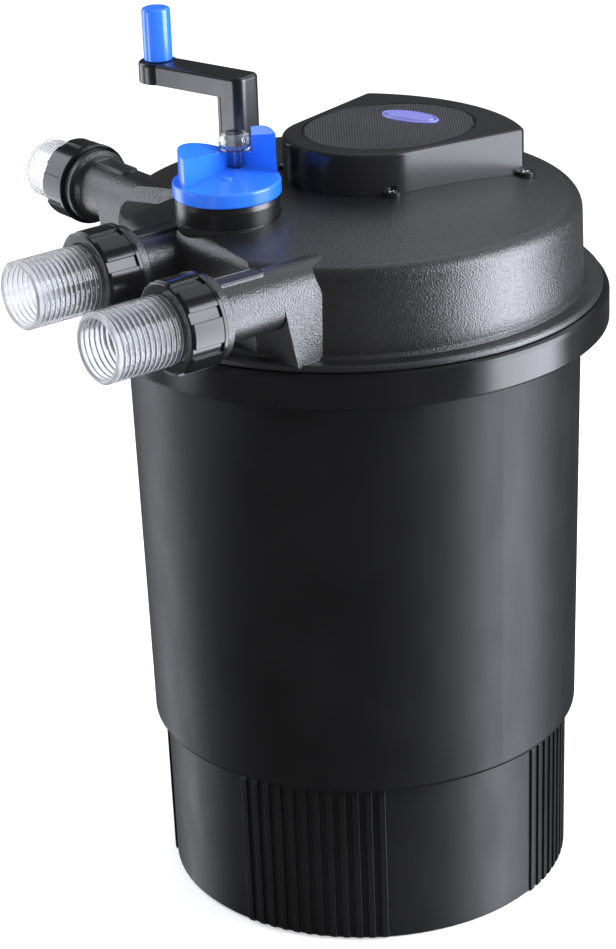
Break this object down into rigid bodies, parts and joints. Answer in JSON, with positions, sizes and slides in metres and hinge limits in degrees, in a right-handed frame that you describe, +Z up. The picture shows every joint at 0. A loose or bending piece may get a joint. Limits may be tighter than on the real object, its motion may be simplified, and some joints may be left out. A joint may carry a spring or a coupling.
{
  "type": "pond canister filter",
  "caption": "Pressure filter canister with clamped domed lid, hose unions, diverter knob, sponge-cleaning hand crank and a light housing on top.",
  "frame": {"origin": "centre of the flat underside of the canister", "axes": "+Z up; inlet and outlet ports point towards -Y, drain port towards -X"},
  "size_m": [0.5029, 0.532, 0.7435],
  "materials": {
    "satin_black": "satin injection-moulded black plastic",
    "grained_black": "matt black plastic with a fine leather grain",
    "gloss_black": "glossy black plastic",
    "gloss_blue": "glossy bright blue plastic",
    "clear_plastic": "clear plastic with moulded thread rings",
    "lens_violet": "translucent violet-blue plastic",
    "seal_rubber": "black rubber",
    "steel": "stainless steel",
    "quartz": "clear quartz",
    "white_plastic": "white engineering plastic",
    "grey_plastic": "grey plastic",
    "foam_blue": "coarse open-cell foam, blue",
    "foam_black": "fine open-cell foam, black"
  },
  "bodies": {
    "housing": {"canister": "satin_black", "clamp_band": "satin_black", "clamp_bolt": "steel", "lid": "grained_black", "lid_seal": "seal_rubber", "inlet_hose_tail": "clear_plastic", "outlet_hose_tail": "clear_plastic", "drain_hose_tail": "clear_plastic", "inlet_tail_seal": "seal_rubber", "outlet_tail_seal": "seal_rubber", "drain_tail_seal": "seal_rubber", "uv_cover": "gloss_black", "cover_grille": "satin_black", "indicator_lens": "lens_violet", "cover_screws": "steel", "cable_gland": "gloss_black", "lamp_ballast": "grey_plastic", "lamp_holder": "white_plastic", "uv_lamp": "quartz", "quartz_sleeve": "quartz", "sleeve_seal": "seal_rubber", "sleeve_nut": "grey_plastic", "valve_bonnet": "grained_black", "crank_bush": "white_plastic", "shaft_seal": "seal_rubber", "scraper_comb": "grey_plastic", "base_grid": "grey_plastic", "outlet_tube": "grey_plastic", "thrust_washer": "white_plastic"},
    "valve": {"valve_rotor": "grey_plastic", "rotor_seals": "seal_rubber", "control_knob": "gloss_blue", "sight_glass": "clear_plastic", "knob_screw": "steel", "knob_cap": "gloss_blue"},
    "crank": {"crank_arm": "satin_black", "grip_pin": "steel", "crank_shaft": "steel", "drive_pinion": "white_plastic"},
    "grip": {"crank_grip": "gloss_blue"},
    "carrier": {"carrier_gear": "white_plastic", "carrier_frame": "grey_plastic", "carrier_top": "grey_plastic", "tie_rods": "steel", "sponge_1": "foam_blue", "sponge_2": "foam_black", "sponge_3": "foam_blue", "sponge_4": "foam_black"},
    "inlet_nut": {"inlet_union_nut": "gloss_black"},
    "outlet_nut": {"outlet_union_nut": "gloss_black"},
    "drain_nut": {"drain_union_nut": "gloss_black"},
    "wing_nut": {"clamp_wing_nut": "grey_plastic"}
  },
  "joints": [
    {"name": "carrier_spin", "type": "hinge", "parent": "housing", "child": "carrier", "pos_m": [0, 0, 0.3], "axis": [0, 0, 1], "continuous": true},
    {"name": "crank_turn", "type": "hinge", "parent": "housing", "child": "crank", "pos_m": [-0.05416, -0.06809, 0.6], "axis": [0, 0, 1], "continuous": true},
    {"name": "grip_spin", "type": "hinge", "parent": "crank", "child": "grip", "pos_m": [-0.13421, -0.08804, 0.72], "axis": [0, 0, 1], "continuous": true},
    {"name": "valve_turn", "type": "hinge", "parent": "housing", "child": "valve", "pos_m": [-0.003, -0.1195, 0.6], "axis": [0, 0, -1], "range_deg": [0, 90]},
    {"name": "inlet_nut_spin", "type": "hinge", "parent": "housing", "child": "inlet_nut", "pos_m": [0.109, -0.2435, 0.576], "axis": [0, -1, 0], "continuous": true},
    {"name": "outlet_nut_spin", "type": "hinge", "parent": "housing", "child": "outlet_nut", "pos_m": [-0.028, -0.2225, 0.576], "axis": [0, -1, 0], "continuous": true},
    {"name": "drain_nut_spin", "type": "hinge", "parent": "housing", "child": "drain_nut", "pos_m": [-0.238, -0.099, 0.576], "axis": [-1, 0, 0], "continuous": true},
    {"name": "wing_nut_spin", "type": "hinge", "parent": "housing", "child": "wing_nut", "pos_m": [-0.17809, 0.13914, 0.5057], "axis": [-0.6157, -0.788, 0], "continuous": true}
  ],
  "couplings": [
    {"joint": "crank_turn", "follows": "carrier_spin", "ratio": -4.8}
  ]
}
